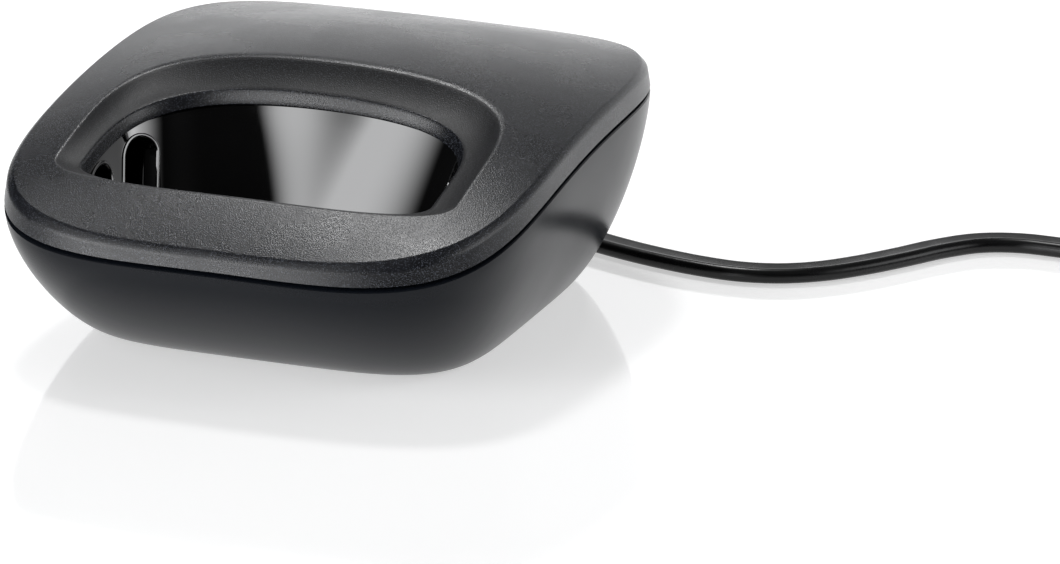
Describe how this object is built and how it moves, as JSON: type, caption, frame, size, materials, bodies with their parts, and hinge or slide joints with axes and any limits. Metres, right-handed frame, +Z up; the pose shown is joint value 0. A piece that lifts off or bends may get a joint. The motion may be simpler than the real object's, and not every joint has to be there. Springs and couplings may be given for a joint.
{
  "type": "cordless handset charging cradle",
  "caption": "Charging cradle for a cordless handset: squarish flared body with a sloping domed top, a glossy tilted pocket, sprung contacts, and a flat lead to a plug-in supply.",
  "frame": {"origin": "middle of the cradle's box at table level, measured without the lead and its supply", "axes": "+Z up, -Y towards the user, +X to the right as the user sees it; the lead leaves at +Y"},
  "size_m": [0.2259, 0.1405, 0.0379],
  "materials": {
    "grained_shell": "spark-grained dark grey",
    "satin_shell": "satin blue-grey",
    "glossy_well": "polished black",
    "black_plastic": "fine matt black",
    "lead_jacket": "black flexible PVC, semi-gloss",
    "rubber": "matt",
    "board": "green solder mask",
    "label": "blank printed film",
    "contact_metal": "gold-plated",
    "steel": "zinc-plated",
    "ceramic": "lacquered",
    "can_sleeve": "shrink sleeve"
  },
  "bodies": {
    "cradle": {"top_shell": "grained_shell", "bottom_shell": "satin_shell", "handset_well": "glossy_well", "rating_plate": "label", "circuit_board": "board", "board_screw_left": "steel", "board_screw_right": "steel", "contact_block": "black_plastic", "power_socket": "black_plastic", "fuse": "ceramic", "rectifier_diode": "black_plastic", "charge_resistor_left": "ceramic", "charge_resistor_right": "ceramic", "smoothing_capacitor": "can_sleeve", "plug_housing": "black_plastic", "plug_contact_left": "contact_metal", "plug_contact_right": "contact_metal", "plug_strain_relief": "black_plastic", "power_lead": "lead_jacket", "power_lead_coil": "lead_jacket", "power_lead_tail": "lead_jacket", "lead_tie": "rubber", "adapter_case": "black_plastic", "adapter_cover": "black_plastic", "adapter_pin_left": "steel", "adapter_pin_right": "steel", "adapter_board": "board", "adapter_transformer": "steel", "adapter_capacitor": "can_sleeve", "adapter_strain_relief": "black_plastic", "adapter_rating_plate": "label", "case_screw_front_left": "steel", "rubber_foot_front_left": "rubber", "case_screw_front_right": "steel", "rubber_foot_front_right": "rubber", "case_screw_rear_left": "steel", "rubber_foot_rear_left": "rubber", "case_screw_rear_right": "steel", "rubber_foot_rear_right": "rubber"},
    "spring_left": {"charging_spring_left": "contact_metal"},
    "spring_right": {"charging_spring_right": "contact_metal"},
    "latch": {"plug_latch": "black_plastic"}
  },
  "joints": [
    {"name": "charging_spring_left_press", "type": "hinge", "parent": "cradle", "child": "spring_left", "pos_m": [-0.008, -0.01262, 0.0069], "axis": [1, 0, 0], "range_deg": [0, 7], "stiffness_Nm_per_rad": 0.06},
    {"name": "charging_spring_right_press", "type": "hinge", "parent": "cradle", "child": "spring_right", "pos_m": [0.008, -0.01262, 0.0069], "axis": [1, 0, 0], "range_deg": [0, 7], "stiffness_Nm_per_rad": 0.06},
    {"name": "plug_latch_press", "type": "hinge", "parent": "cradle", "child": "latch", "pos_m": [-0.005, 0.0152, 0.00285], "axis": [1, 0, 0], "range_deg": [0, 6], "stiffness_Nm_per_rad": 0.03}
  ]
}
